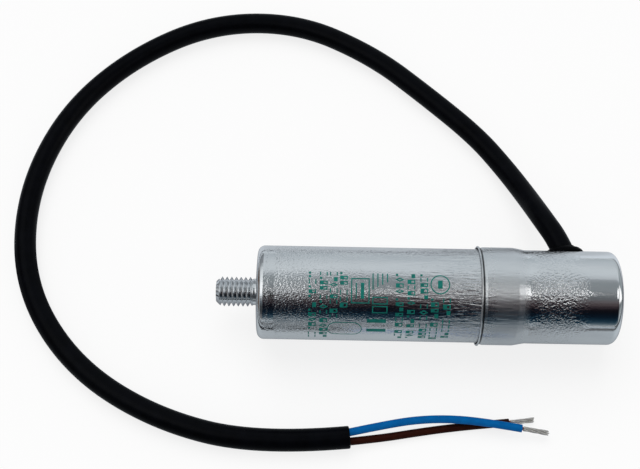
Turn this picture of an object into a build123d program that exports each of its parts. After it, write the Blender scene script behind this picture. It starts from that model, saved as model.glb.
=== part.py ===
from build123d import *
import math
import os

# Capacitor that lies on its side: X runs along the can from the stud to the cap's closed end,
# Z is up, and Y points to the side on which the cable leaves. All sizes are in millimetres.

# Can, drawn from one slug of aluminium together with its mounting stud
can_diameter = 25.0
can_length = 67.5
can_wall = 0.5
can_base_thickness = 1.0
can_base_corner = 1.6
bead_depth = 0.7
bead_width = 2.4
rim_reach = 1.9
rim_corner = 0.9

# Mounting stud with a rolled metric thread, drawn here as rings of the true pitch and depth
stud_diameter = 7.9
stud_length = 10.9
stud_neck_length = 1.1
stud_root_round = 0.5
stud_tip_diameter = 5.5
thread_pitch = 1.25
thread_turns = 7
thread_flank_angle = 30.0

# Cap pressed over the open end of the can
cap_length = 36.8
cap_wall = 0.5
cap_fit_clearance = 0.05
cap_lip_flare = 0.3
cap_lip_length = 1.8
cap_sleeve_length = 9.0
cap_step_length = 3.2
cap_step_drop = 0.6
cap_end_corner = 2.2
cap_rim_gap = 0.2

# Cable hole in the side of the cap, and its rubber grommet
hole_from_lip = 24.4
hole_diameter = 8.2
grommet_diameter = 10.2
grommet_height = 1.6
grommet_edge_round = 1.1
grommet_inner_depth = 1.7
grommet_collar_height = 0.3
grommet_collar_wall = 0.3

# Cable and its two cores
sheath_diameter = 6.0
sheath_tail = 5.5
sheath_lead_out = 3.5
exit_lean = 18.0
core_diameter = 2.1
core_gap = 0.4
core_pair_tilt = 35.0
conductor_diameter = 1.05
conductor_length = 7.4
inner_core_reach = 4.4
inner_core_straight = 2.9
inner_core_sag = 1.8
strip_gap = 0.5
strip_length = 5.4

# Film winding and what holds it in the can
winding_head_gap = 2.5
winding_clearance = 0.15
contact_thickness = 0.5
mandrel_diameter = 6.0
mandrel_bore = 4.4
insulator_thickness = 0.8
insulator_rim_height = 1.6
insulator_rim_width = 1.5
liner_thickness = 0.3
liner_clearance = 0.05
lead_diameter = 1.2
lead_bend = 1.3
lead_solder_reach = 3.5

# Lid with its seal and two riveted solder terminals
lid_thickness = 3.0
lid_clearance = 0.2
boss_diameter = 6.4
boss_height = 1.2
seal_thickness = 1.2
seal_width = 1.7
terminal_offset = 4.5
rivet_diameter = 2.4
rivet_head_diameter = 4.0
rivet_head_height = 0.8
shoulder_diameter = 4.4
shoulder_height = 0.5
lug_width = 4.8
lug_thickness = 0.8
lug_length = 7.5
solder_length = 3.8
solder_diameter = 2.4
solder_film = 0.15
solder_round = 0.7
solder_end_gap = 0.4
sleeve_length = 11.4
sleeve_clearance = 0.2
sleeve_wall = 0.4
sleeve_gap = 0.1

# Places along X, worked out from the sizes above
can_radius = can_diameter / 2
can_bore_radius = can_radius - can_wall
cap_overlap = cap_sleeve_length - cap_rim_gap
overall_length = stud_length + can_length - cap_overlap + cap_length
x_base = stud_length - overall_length / 2
x_rim = x_base + can_length
x_lip = x_rim - cap_overlap
x_cap_end = x_lip + cap_length
x_hole = x_lip + hole_from_lip

# Radii of the cap, and the height of the common axis over the surface it lies on
cap_bore_radius = can_radius + cap_fit_clearance
cap_sleeve_radius = cap_bore_radius + cap_wall
cap_lip_radius = cap_sleeve_radius + cap_lip_flare
cap_neck_radius = cap_sleeve_radius - cap_step_drop
cap_neck_bore = cap_neck_radius - cap_wall
axis_height = cap_lip_radius

# Places of the inner pieces along X
x_insulator = x_base + can_base_thickness
x_contact_base = x_insulator + insulator_thickness + insulator_rim_height
x_winding = x_contact_base + contact_thickness
x_seal = x_rim - can_wall - seal_thickness
x_lid = x_seal - lid_thickness
x_bead = x_lid - bead_width / 2
x_boss_top = x_seal + boss_height
x_lug = x_boss_top + shoulder_height
x_sleeve = x_lug + sleeve_gap

# The winding fills the liner, from the insulator to winding_head_gap below the bead
x_winding_top = x_bead - bead_width / 2 - winding_head_gap
x_contact_lid = x_winding_top - contact_thickness
winding_length = x_contact_lid - x_winding
liner_bore_radius = can_bore_radius - liner_clearance - liner_thickness
winding_radius = liner_bore_radius - winding_clearance

# The two cores lie side by side, and the sleeve is wide enough for its lug
core_spread = core_diameter + core_gap
sleeve_bore = lug_width + 2 * sleeve_clearance

# The cable leans by exit_lean from the hole's own axis, towards the stud
lean = math.radians(exit_lean)
exit_direction = Vector(-math.sin(lean), math.cos(lean), 0)
hole_centre = Vector(x_hole, cap_neck_radius, axis_height)
tail_end = hole_centre - exit_direction * sheath_tail

# Route of the sheath after the exit, lying on the surface once it is down
sheath_radius = sheath_diameter / 2
sheath_route = [
    (35.5, 24.0, 11.7),
    (32.5, 33.0, 6.3),
    (27.5, 43.0, 3.0),
    (19.5, 53.5, 3.0),
    (6.0, 66.0, 3.0),
    (-11.0, 80.5, 3.0),
    (-34.0, 91.5, 3.0),
    (-60.5, 90.5, 3.0),
    (-84.5, 77.0, 3.0),
    (-101.5, 57.5, 3.0),
    (-110.0, 31.5, 3.0),
    (-107.5, 4.5, 3.0),
    (-92.5, -18.0, 3.0),
    (-69.0, -32.5, 3.0),
    (-41.0, -39.0, 3.0),
    (-17.0, -36.5, 3.0),
]

# Routes of the free cores, from the cut end of the sheath to the cut end of their insulation
core_route_blue = [
    (-8.2, -33.3, 3.7),
    (0.9, -31.6, 3.5),
    (10.1, -31.2, 3.5),
    (19.4, -32.0, 3.5),
    (28.6, -33.3, 2.9),
]
core_route_brown = [
    (-8.7, -36.3, 1.5),
    (-0.3, -34.7, 1.1),
    (8.3, -33.3, 1.1),
    (17.0, -32.2, 1.1),
    (25.5, -31.3, 1.1),
]


def turned(outline):
    # Solid of revolution about the common axis, from corners (x, radius) or (x, radius, rounding)
    face = make_face(Polyline(*[(x, 0, radius) for x, radius, *_ in outline], close=True))
    for x, radius, *rounding in outline:
        if rounding:
            corner = min(face.vertices(), key=lambda v: (v.center() - Vector(x, 0, radius)).length)
            face = face.face().fillet_2d(rounding[0], [corner])
    return Pos(0, 0, axis_height) * revolve(face, Axis.X, 360)


def ring(start, length, outer_radius, inner_radius=0.0):
    # Plain cylinder or tube about the common axis
    return turned([
        (start, inner_radius),
        (start, outer_radius),
        (start + length, outer_radius),
        (start + length, inner_radius),
    ])


def round_bar(start, end, diameter):
    # Straight round bar between two points
    along = Vector(*end) - Vector(*start)
    base = Plane(origin=start, z_dir=along)
    return extrude(base * Circle(diameter / 2), along.length)


def bend_radii(points):
    # Each bend takes 0.45 of its shorter run on either side of the corner
    radii = []
    for before, corner, after in zip(points, points[1:], points[2:]):
        run_in = corner - before
        run_out = after - corner
        half_turn = math.radians(run_in.get_angle(run_out) / 2)
        radii.append(0.45 * min(run_in.length, run_out.length) / math.tan(half_turn))
    return radii


def wire_tube(points, diameter, radii=None):
    # Round cord along straight runs joined by tangent arcs
    points = [Vector(*point) for point in points]
    path = FilletPolyline(*points, radius=radii or bend_radii(points))
    start = Plane(origin=points[0], z_dir=points[1] - points[0])
    return sweep(start * Circle(diameter / 2), path=path), path


def stud_outline():
    # Half section of the stud from its tip to the root round where it meets the can's base
    crest = thread_pitch / 8
    root = thread_pitch / 6
    flank = (thread_pitch - crest - root) / 2
    depth = flank / math.tan(math.radians(thread_flank_angle))
    major = stud_diameter / 2
    minor = major - depth
    neck = major - depth / 2
    x_neck = x_base - stud_neck_length
    points = [(x_base - stud_length, 0), (x_base - stud_length, stud_tip_diameter / 2)]
    for turn in range(thread_turns, 0, -1):
        start = x_neck - turn * thread_pitch + root / 2
        points.append((start, minor))
        points.append((start + flank, major))
        points.append((start + flank + crest, major))
        points.append((start + 2 * flank + crest, minor))
    return points + [(x_neck, neck), (x_base, neck, stud_root_round)]


def can():
    # Stud and cup with rounded base, a bead that the lid sits on and a rim rolled over the seal
    half = bead_width / 2
    flat = bead_width / 6
    groove = can_radius - bead_depth
    x_floor = x_base + can_base_thickness
    cup = [
        (x_base, can_radius, can_base_corner),
        (x_bead - half, can_radius),
        (x_bead - flat, groove),
        (x_bead + flat, groove),
        (x_bead + half, can_radius),
        (x_rim, can_radius, rim_corner),
        (x_rim, can_radius - rim_reach),
        (x_rim - can_wall, can_radius - rim_reach),
        (x_rim - can_wall, can_bore_radius, rim_corner - can_wall),
        (x_bead + half, can_bore_radius),
        (x_bead + flat, groove - can_wall),
        (x_bead - flat, groove - can_wall),
        (x_bead - half, can_bore_radius),
        (x_floor, can_bore_radius, can_base_corner / 2),
        (x_floor, 0),
    ]
    return turned(stud_outline() + cup)


def cap_shell():
    # Drawn cap with a flared lip, a sleeve over the can, a step down and a closed end
    x_flare = x_lip + cap_lip_length
    x_step = x_lip + cap_sleeve_length
    x_neck = x_step + cap_step_length
    bend = cap_step_length
    return turned([
        (x_lip, cap_lip_radius),
        (x_flare, cap_sleeve_radius),
        (x_step, cap_sleeve_radius, bend),
        (x_neck, cap_neck_radius, bend),
        (x_cap_end, cap_neck_radius, cap_end_corner),
        (x_cap_end, 0),
        (x_cap_end - cap_wall, 0),
        (x_cap_end - cap_wall, cap_neck_bore, cap_end_corner - cap_wall),
        (x_neck, cap_neck_bore, bend),
        (x_step, cap_bore_radius, bend),
        (x_flare, cap_bore_radius),
        (x_lip, cap_lip_radius - cap_wall),
    ])


def cap():
    # The shell with its cable hole
    bore = round_bar((x_hole, 0, axis_height), (x_hole, 2 * cap_sleeve_radius, axis_height), hole_diameter)
    return cap_shell() - bore


def grommet(cap_solid, sheath_solid):
    # Domed rubber button that grips both faces of the cap's wall and closes on the sheath
    inner_end = cap_neck_bore - grommet_inner_depth
    outer_end = cap_neck_radius + grommet_height
    button = round_bar((x_hole, inner_end, axis_height), (x_hole, outer_end, axis_height), grommet_diameter)
    rim = button.faces().sort_by(Axis.Y)[-1].edges()
    button = fillet(rim, grommet_edge_round)
    collar_reach = (grommet_height + grommet_collar_height) / math.cos(lean)
    collar = round_bar(
        hole_centre,
        hole_centre + exit_direction * collar_reach,
        sheath_diameter + 2 * grommet_collar_wall,
    )
    return button + collar - cap_solid - sheath_solid


def sheath_points():
    # The first run goes from the tail inside the cap straight out through the grommet
    first = hole_centre + exit_direction * sheath_lead_out
    return [tail_end, first] + [Vector(*point) for point in sheath_route]


def core_start(side):
    # Where a core leaves the sheath's cut end: the two lie side by side, blue higher than brown
    end = Vector(*sheath_route[-1])
    along = (end - Vector(*sheath_route[-2])).normalized()
    tilt = math.radians(core_pair_tilt)
    across = Vector(-along.Y, along.X, 0) * math.cos(tilt) + Vector(0, 0, math.sin(tilt))
    return end + across * (side * core_spread / 2)


def core_points(side, route):
    return [core_start(side)] + [Vector(*point) for point in route]


def free_core(points, sheath_solid):
    # Core that leaves the cut end of the sheath, against whose flat face it is trimmed
    tube, path = wire_tube(points, core_diameter)
    return tube - sheath_solid, path


def free_conductor(route):
    # Bare stranded end, straight on from the cut insulation
    end = Vector(*route[-1])
    along = (end - Vector(*route[-2])).normalized()
    return round_bar(end, end + along * conductor_length, conductor_diameter)


def inner_core(side, sheath_solid):
    # Core from the sheath's tail to its terminal, with its stripped end lying on the lug
    height = joint_height(side)
    start = tail_end + Vector(0, 0, side * core_spread / 2)
    x_strip = x_lug + lug_length + strip_gap
    straight = Vector(inner_core_straight, 0, 0)
    strip = Vector(x_strip, 0, height)
    inner_turn = start - exit_direction * inner_core_reach + Vector(0, 0, side * strip_gap)
    outer_turn = (inner_turn + strip + straight) / 2 - Vector(0, inner_core_sag, 0)
    points = [start, inner_turn, outer_turn, strip + straight, strip]
    tube, path = wire_tube(points, core_diameter)
    bare_end = (x_strip - strip_length, 0, height)
    return tube - sheath_solid + round_bar(strip, bare_end, conductor_diameter)


def terminal(side):
    # Rivet through the lid with a shoulder and a flat solder lug
    height = axis_height + side * terminal_offset
    head = round_bar((x_lid - rivet_head_height, 0, height), (x_lid, 0, height), rivet_head_diameter)
    shank = round_bar((x_lid, 0, height), (x_boss_top, 0, height), rivet_diameter)
    shoulder = round_bar((x_boss_top, 0, height), (x_lug, 0, height), shoulder_diameter)
    lug = Pos(x_lug + lug_length / 2, 0, height) * Box(lug_length, lug_width, lug_thickness)
    lug = fillet(lug.edges().filter_by(Axis.Z).sort_by(Axis.X)[-2:], lug_width / 4)
    return head + shank + shoulder + lug


def joint_height(side):
    # Height of the stripped conductor's axis, a film of solder off the lug's outer face
    return axis_height + side * (terminal_offset + (lug_thickness + conductor_diameter) / 2 + solder_film)


def solder(side, core_solid):
    # Bead of solder round the stripped conductor, flat where it meets the lug
    x_end = x_lug + lug_length - solder_end_gap
    height = joint_height(side)
    bead = round_bar((x_end - solder_length, 0, height), (x_end, 0, height), solder_diameter)
    bead = fillet(bead.edges().filter_by(GeomType.CIRCLE), solder_round)
    lug_centre = axis_height + side * terminal_offset
    cut_box = Box(3 * solder_length, 2 * solder_diameter, lug_thickness + solder_diameter)
    cut = Pos(x_end, 0, lug_centre - side * solder_diameter / 2) * cut_box
    return bead - cut - core_solid


def insulating_sleeve(side):
    # Tube over the lug and the soldered joint
    height = axis_height + side * (terminal_offset + lug_thickness / 2)
    start = (x_sleeve, 0, height)
    end = (x_sleeve + sleeve_length, 0, height)
    return round_bar(start, end, sleeve_bore + 2 * sleeve_wall) - round_bar(start, end, sleeve_bore)


def lid():
    # Disc with a raised boss round each terminal
    body = ring(x_lid, lid_thickness, can_bore_radius - lid_clearance)
    for side in (1, -1):
        height = axis_height + side * terminal_offset
        body += round_bar((x_seal, 0, height), (x_boss_top, 0, height), boss_diameter)
        body -= round_bar((x_lid, 0, height), (x_boss_top, 0, height), rivet_diameter)
    return body


def lid_seal():
    # Flat rubber ring that the rolled rim presses onto the lid
    outer = can_bore_radius - (rim_corner - can_wall)
    return ring(x_seal, seal_thickness, outer, outer - seal_width)


def base_insulator():
    # Shallow tray that keeps the winding and its lead off the can's base
    outer = can_bore_radius - can_base_corner / 2
    tray = ring(x_insulator, insulator_thickness + insulator_rim_height, outer)
    inner = outer - insulator_rim_width
    return tray - ring(x_insulator + insulator_thickness, insulator_rim_height, inner)


def can_liner():
    outer = can_bore_radius - liner_clearance
    start = x_insulator + can_base_corner / 2 + liner_clearance
    end = x_bead - bead_width / 2 - liner_clearance
    return ring(start, end - start, outer, liner_bore_radius)


def winding_mandrel():
    length = winding_length + 2 * contact_thickness
    return ring(x_contact_base, length, mandrel_diameter / 2, mandrel_bore / 2)


def film_winding():
    return ring(x_winding, winding_length, winding_radius, mandrel_diameter / 2)


def contact_layer(start):
    return ring(start, contact_thickness, winding_radius, mandrel_diameter / 2)


def base_lead():
    # From the base contact layer, in over it, up the mandrel's bore and out to the blue terminal
    x_low = x_contact_base - lead_diameter / 2
    x_high = x_lid - rivet_head_height - lead_diameter - lead_bend
    outer = axis_height - mandrel_diameter / 2 - lead_solder_reach
    height = axis_height + terminal_offset
    points = [
        (x_low, 0, outer),
        (x_low, 0, axis_height),
        (x_high, 0, axis_height),
        (x_high, 0, height),
        (x_lid - rivet_head_height, 0, height),
    ]
    return wire_tube(points, lead_diameter, [lead_bend] * 3)[0]


def lid_lead():
    # From the contact layer at the lid end straight up to the brown terminal
    x_low = x_winding_top + lead_diameter / 2
    height = axis_height - terminal_offset
    points = [
        (x_low, 0, height - lead_solder_reach),
        (x_low, 0, height),
        (x_lid - rivet_head_height, 0, height),
    ]
    return wire_tube(points, lead_diameter, [lead_bend])[0]


def save(shape, node):
    export_step(shape, "parts/" + node + ".step")


os.makedirs("parts", exist_ok=True)

sheath_line = sheath_points()
sheath, sheath_path = wire_tube(sheath_line, sheath_diameter)
cap_solid = cap()
blue_line = core_points(1, core_route_blue)
brown_line = core_points(-1, core_route_brown)
core_blue, blue_path = free_core(blue_line, sheath)
core_brown, brown_path = free_core(brown_line, sheath)
inner_blue = inner_core(1, sheath)
inner_brown = inner_core(-1, sheath)

save(can(), "can")
save(base_insulator(), "base_insulator")
save(can_liner(), "can_liner")
save(winding_mandrel(), "winding_mandrel")
save(film_winding(), "film_winding")
save(contact_layer(x_contact_base), "contact_layer_base")
save(contact_layer(x_contact_lid), "contact_layer_lid")
save(base_lead(), "winding_lead_base")
save(lid_lead(), "winding_lead_lid")
save(lid(), "lid")
save(lid_seal(), "lid_seal")
save(terminal(1), "terminal_blue")
save(terminal(-1), "terminal_brown")
save(solder(1, inner_blue), "solder_blue")
save(solder(-1, inner_brown), "solder_brown")
save(insulating_sleeve(1), "insulating_sleeve_blue")
save(insulating_sleeve(-1), "insulating_sleeve_brown")
save(inner_blue, "inner_core_blue")
save(inner_brown, "inner_core_brown")
save(cap_solid, "cap")
save(grommet(cap_solid, sheath), "grommet")
save(sheath, "cable_sheath")
save(core_blue, "core_blue")
save(core_brown, "core_brown")
save(free_conductor(core_route_blue), "strands_blue")
save(free_conductor(core_route_brown), "strands_brown")

# Bend radii and lengths of the cords, for comparison with their sections
cords = [
    ("cable_sheath", sheath, sheath_path, sheath_diameter, sheath_line),
    ("core_blue", core_blue, blue_path, core_diameter, blue_line),
    ("core_brown", core_brown, brown_path, core_diameter, brown_line),
]
for name, solid, path, diameter, points in cords:
    section = math.pi * diameter ** 2 / 4
    length = sum(edge.length for edge in path.edges())
    runs = [round((b - a).length, 1) for a, b in zip(points, points[1:])]
    print(name, "length", round(length, 1), "volume over section", round(solid.volume / section, 1))
    print("  bend radii", [round(radius, 1) for radius in bend_radii(points)])
    print("  runs", runs)
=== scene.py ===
import math
import random

import bmesh
import bpy
from mathutils import Matrix, Vector


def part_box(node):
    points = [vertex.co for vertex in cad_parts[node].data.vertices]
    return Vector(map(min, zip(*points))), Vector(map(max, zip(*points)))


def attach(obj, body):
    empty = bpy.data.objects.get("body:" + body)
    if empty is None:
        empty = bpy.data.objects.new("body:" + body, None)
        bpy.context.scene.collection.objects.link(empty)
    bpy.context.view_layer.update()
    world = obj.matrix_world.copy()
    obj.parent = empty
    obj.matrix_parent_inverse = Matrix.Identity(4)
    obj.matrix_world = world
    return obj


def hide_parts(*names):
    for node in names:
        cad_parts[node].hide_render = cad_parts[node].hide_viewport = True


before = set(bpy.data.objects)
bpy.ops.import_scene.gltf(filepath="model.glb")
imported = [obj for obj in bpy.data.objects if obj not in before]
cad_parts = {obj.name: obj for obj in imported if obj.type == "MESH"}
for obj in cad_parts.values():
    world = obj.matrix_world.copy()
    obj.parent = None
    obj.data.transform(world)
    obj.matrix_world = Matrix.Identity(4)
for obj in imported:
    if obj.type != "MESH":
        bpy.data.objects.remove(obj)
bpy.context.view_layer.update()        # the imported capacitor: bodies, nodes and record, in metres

mm = 0.001
print("frame loaded with", len(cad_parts), "nodes")

# Places taken from the frame: X runs along the can, the cable leaves on the +Y side
canLow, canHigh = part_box("can")
capLow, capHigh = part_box("cap")
axisZ = (capLow.z + capHigh.z) / 2
canRadius = (canHigh.z - canLow.z) / 2
capLipRadius = (capHigh.z - capLow.z) / 2
xStudTip = canLow.x
xRim = canHigh.x
xLip = capLow.x
xCapEnd = capHigh.x


# Small helpers for meshes

edgeSupport = 0.12 * mm      # how close to an edge a long face is divided, so that shading stays true


def linkObject(name, data):
    made = bpy.data.objects.new(name, data)
    bpy.context.scene.collection.objects.link(made)
    return made


def shadeMesh(mesh, sharpAngle=32):
    mesh.shade_smooth()
    mesh.set_sharp_from_angle(angle=math.radians(sharpAngle))


def finishMesh(name, bm, weld=1e-7, sharpAngle=32):
    bmesh.ops.remove_doubles(bm, verts=bm.verts, dist=weld)
    bmesh.ops.dissolve_degenerate(bm, edges=bm.edges, dist=weld)
    bmesh.ops.recalc_face_normals(bm, faces=bm.faces)
    mesh = bpy.data.meshes.new(name)
    bm.to_mesh(mesh)
    bm.free()
    shadeMesh(mesh, sharpAngle)
    return linkObject(name, mesh)


def roundCorners(corners, steps=7):
    # corners are (along, radius) or (along, radius, rounding); rounded ones become arcs
    points = []
    for index, corner in enumerate(corners):
        here = Vector(corner[:2])
        if len(corner) == 2:
            points.append(here)
            continue
        before = (Vector(corners[index - 1][:2]) - here).normalized()
        after = (Vector(corners[(index + 1) % len(corners)][:2]) - here).normalized()
        half = before.angle(after) / 2
        reach = corner[2] / math.tan(half)
        middle = here + (before + after).normalized() * corner[2] / math.sin(half)
        start = here + before * reach - middle
        end = here + after * reach - middle
        turn = start.angle_signed(end)
        for step in range(steps + 1):
            points.append(middle + Matrix.Rotation(-turn * step / steps, 2) @ start)
    return points


def splitLong(points, longest):
    made = [points[0]]
    for start, end in zip(points, points[1:]):
        run = end - start
        if run.length > longest:
            inner = run.length - 2 * edgeSupport
            count = math.ceil(inner / longest)
            for step in range(count + 1):
                made.append(start + run.normalized() * (edgeSupport + inner * step / count))
        made.append(end)
    return made


def addSkin(bm, rows, closed=False):
    # Joins each ring of points to the next; a ring that is all one point gives triangles
    pairs = list(zip(rows, rows[1:]))
    if closed:
        pairs.append((rows[-1], rows[0]))
    for low, high in pairs:
        for k in range(len(low)):
            after = (k + 1) % len(low)
            corners = [low[k], low[after], high[after], high[k]]
            ring = [v for n, v in enumerate(corners) if v not in corners[:n]]
            if len(ring) > 2:
                bm.faces.new(ring)


def addLathe(bm, points, place, segments, closed=False):
    # place(along, radius, turn) gives the vertex of a profile point
    turns = [math.tau * k / segments for k in range(segments)]
    rows = []
    for along, radius in points:
        if radius < 1e-9:
            rows.append([bm.verts.new(place(along, 0, 0))] * segments)
        else:
            rows.append([bm.verts.new(place(along, radius, turn)) for turn in turns])
    addSkin(bm, rows, closed)


def aboutCan(along, radius, turn):
    return (along, radius * math.cos(turn), axisZ + radius * math.sin(turn))


def aboutLine(start, along):
    # The same about a line of its own, with the profile's places measured from start
    turnTo = along.to_track_quat("X", "Z").to_matrix()
    return lambda x, r, turn: start + turnTo @ Vector((x, r * math.cos(turn), r * math.sin(turn)))


# Camera at the photograph's view: it looks down on the can, a little from the near side

cameraPlace = {"lens": 67.5, "location": (-0.0258, -0.1111, 0.3152), "lean": 23.0, "roll": 1.04}


def makeCamera():
    data = bpy.data.cameras.new("photoCamera")
    data.lens = cameraPlace["lens"]
    data.clip_start = 0.01
    camera = linkObject("photoCamera", data)
    lean = Matrix.Rotation(math.radians(cameraPlace["lean"]), 4, "X")
    roll = Matrix.Rotation(math.radians(cameraPlace["roll"]), 4, "Z")
    camera.matrix_world = Matrix.Translation(cameraPlace["location"]) @ lean @ roll
    bpy.context.scene.camera = camera


makeCamera()
print("camera placed")


# Cable: one loop on the floor, with the route's points repeated in millimetres

sheathShape = {
    "diameter": 6.0 * mm,
    "length": 0.3588,
    "exit": (40.2, 14.3, 13.35),
    # Ring at the cut end, in millimetres: place past the tube's end, depth under its surface, rounding
    "lipLine": [
        (-1, 3), (-1, 0.3), (-0.7, 0), (0.9, 0, 0.4), (0.9, 0.65, 0.15), (0.05, 0.7), (0.02, 3),
    ],
    "lipSegments": 64,
    "route": [
        (42.5, 7.22, 13.35), (39.72, 15.78, 13.35), (35.5, 24.0, 11.7), (32.5, 33.0, 6.3),
        (27.5, 43.0, 3.0), (19.5, 53.5, 3.0), (6.0, 66.0, 3.0), (-11.0, 80.5, 3.0),
        (-34.0, 91.5, 3.0), (-60.5, 90.5, 3.0), (-84.5, 77.0, 3.0), (-101.5, 57.5, 3.0),
        (-110.0, 31.5, 3.0), (-107.5, 4.5, 3.0), (-92.5, -18.0, 3.0), (-69.0, -32.5, 3.0),
        (-41.0, -39.0, 3.0), (-17.9, -36.6, 3.0),
    ],
}
coreShape = {
    "diameter": 2.1 * mm,
    "lengths": {"blue": 0.0462, "brown": 0.0429},
    "routes": {
        "blue": [
            (-18.1, -35.6, 3.72), (-8.2, -33.3, 3.7), (0.9, -31.6, 3.5), (10.1, -31.2, 3.5),
            (19.4, -32.0, 3.5), (28.6, -33.3, 2.9),
        ],
        "brown": [
            (-17.9, -37.6, 2.28), (-8.7, -36.3, 1.5), (-0.3, -34.7, 1.1), (8.3, -33.3, 1.1),
            (17.0, -32.2, 1.1), (25.5, -31.3, 1.1),
        ],
    },
}


def scaled(points):
    return [Vector(point) * mm for point in points]


def makeCord(name, points, diameter):
    data = bpy.data.curves.new(name, "CURVE")
    data.dimensions = "3D"
    spline = data.splines.new("NURBS")
    spline.points.add(len(points) - 1)
    for control, place in zip(spline.points, points):
        control.co = (*place, 1.0)
    spline.order_u = 3
    spline.use_endpoint_u = True
    data.resolution_u = 14
    data.bevel_depth = diameter / 2
    data.bevel_resolution = 12
    data.use_fill_caps = True
    return linkObject(name, data)


def makeSheathLip(points):
    # Ring round the cut end, with a rounded edge and the shallow hollow that the cores come out of
    radius = sheathShape["diameter"] / 2
    profile = roundCorners([
        (x * mm, radius - depth * mm, *(size * mm for size in rounding))
        for x, depth, *rounding in sheathShape["lipLine"]
    ])
    bm = bmesh.new()
    place = aboutLine(points[-1], (points[-1] - points[-2]).normalized())
    addLathe(bm, profile, place, sheathShape["lipSegments"])
    return finishMesh("sheathLip", bm)


sheathRoute = scaled(sheathShape["route"])
sheath = makeCord("cableSheath", sheathRoute, sheathShape["diameter"])
sheathLip = makeSheathLip(sheathRoute)
cores = {}
for colour, route in coreShape["routes"].items():
    cores[colour] = makeCord("core" + colour.capitalize(), scaled(route), coreShape["diameter"])
print("cable and cores laid")


# Bare strands: six wires twisted round a seventh, a little ragged where they were cut

strandShape = {
    "wire": 0.41 * mm, "ring": 0.455 * mm, "lay": 15 * mm, "tuck": 0.8 * mm, "ragged": 0.4 * mm,
    "spread": 0.08 * mm, "bareReach": 0.45 * mm, "bareSize": 0.74, "tipSize": 0.75, "steps": 40,
    "lengths": {"blue": 7.3 * mm, "brown": 6.8 * mm}, "seeds": {"blue": 5, "brown": 9},
    "bends": {"blue": (-0.05 * mm, 0.05 * mm), "brown": (0.12 * mm, 0.1 * mm)},
}


def addWire(bm, line, radii, sides=12):
    rows = []
    for index, (place, radius) in enumerate(zip(line, radii)):
        ahead = line[min(index + 1, len(line) - 1)] - line[max(index - 1, 0)]
        turnTo = ahead.to_track_quat("X", "Z").to_matrix()
        ring = []
        for k in range(sides):
            turn = math.tau * k / sides
            offset = Vector((0, math.cos(turn), math.sin(turn))) * radius
            ring.append(bm.verts.new(place + turnTo @ offset))
        rows.append(ring)
    addSkin(bm, rows)
    bm.faces.new(list(reversed(rows[0])))
    bm.faces.new(rows[-1])


def makeStrands(colour):
    # The tin stops a little before the insulation, where thinner copper shows
    shape = strandShape
    draw = random.Random(shape["seeds"][colour])
    bend = shape["bends"][colour]
    steps = shape["steps"]
    route = scaled(coreShape["routes"][colour])
    start = route[-1]
    along = (route[-1] - route[-2]).normalized()
    turnTo = along.to_track_quat("X", "Z").to_matrix()
    bm = bmesh.new()
    for number in range(7):
        reach = shape["lengths"][colour] - draw.random() * shape["ragged"]
        line = []
        radii = []
        for step in range(steps + 1):
            x = -shape["tuck"] + (reach + shape["tuck"]) * step / steps
            share = max(0.0, x / reach)
            size = shape["bareSize"] if x < shape["bareReach"] else 1.0
            radius = 0 if number == 6 else shape["ring"] * size + shape["spread"] * share ** 3
            turn = math.tau * (number / 6 + x / shape["lay"])
            side = radius * math.cos(turn) + bend[0] * share ** 2
            up = radius * math.sin(turn) + bend[1] * share ** 2
            line.append(start + turnTo @ Vector((x, side, up)))
            radii.append(shape["wire"] / 2 * size * (shape["tipSize"] if step == steps else 1.0))
        addWire(bm, line, radii)
    made = finishMesh("strands" + colour.capitalize(), bm, sharpAngle=50)
    share = made.data.attributes.new("copperShare", "FLOAT", "POINT")
    for vertex, value in zip(made.data.vertices, share.data):
        x = (vertex.co - start).dot(along)
        value.value = 1.0 if x < shape["bareReach"] else 0.0
    return made


strands = {colour: makeStrands(colour) for colour in cores}
print("strands twisted")


# Can with its stud, one drawn piece

canShape = {
    "wall": 0.5 * mm, "baseThickness": 1.0 * mm, "baseCorner": 1.8 * mm,
    "beadDepth": 0.7 * mm, "beadWidth": 2.4 * mm, "beadFromRim": 5.9 * mm,
    "beadTopRound": 0.6 * mm, "beadFloorRound": 0.5 * mm, "rimReach": 1.9 * mm, "rimCorner": 0.9 * mm,
    "rimEdgeRound": 0.2 * mm, "longestFace": 1.6 * mm, "segments": 192,
}
studShape = {
    "length": 11.05 * mm, "radius": 3.95 * mm, "neck": 1.1 * mm, "rootRound": 0.5 * mm,
    "tipRadius": 2.75 * mm, "tipCone": 1.25 * mm, "pitch": 1.25 * mm, "depth": 0.86 * mm,
    "crest": 1 / 14, "root": 1 / 8, "startTurn": 0.3, "fadeIn": 0.55, "tipFlat": 0.6, "pointsPerTurn": 20,
}
xBase = xStudTip + studShape["length"]
studNeckRadius = studShape["radius"] - studShape["depth"] / 2


def threadHeight(phase):
    # 0 in the valley and 1 on the crest, with flats of the standard widths
    fromCrest = abs(phase % 1 - 0.5)
    crest = studShape["crest"] / 2
    valley = 0.5 - studShape["root"] / 2
    share = (valley - fromCrest) / (valley - crest)
    return min(1.0, max(0.0, share))


def studRadius(distance, phase):
    # distance is measured from the can's base; the thread fades in at the neck and out at the tip
    shape = studShape
    threaded = shape["radius"] - shape["depth"] * (1 - threadHeight(phase - shape["startTurn"]))
    start = (distance - shape["neck"]) / (shape["fadeIn"] * shape["pitch"])
    start = min(1.0, max(0.0, start))
    radius = studNeckRadius + (threaded - studNeckRadius) * start
    tip = (shape["length"] - distance) / shape["tipCone"]
    return min(radius, shape["tipRadius"] + (shape["radius"] - shape["tipRadius"]) * tip)


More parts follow.
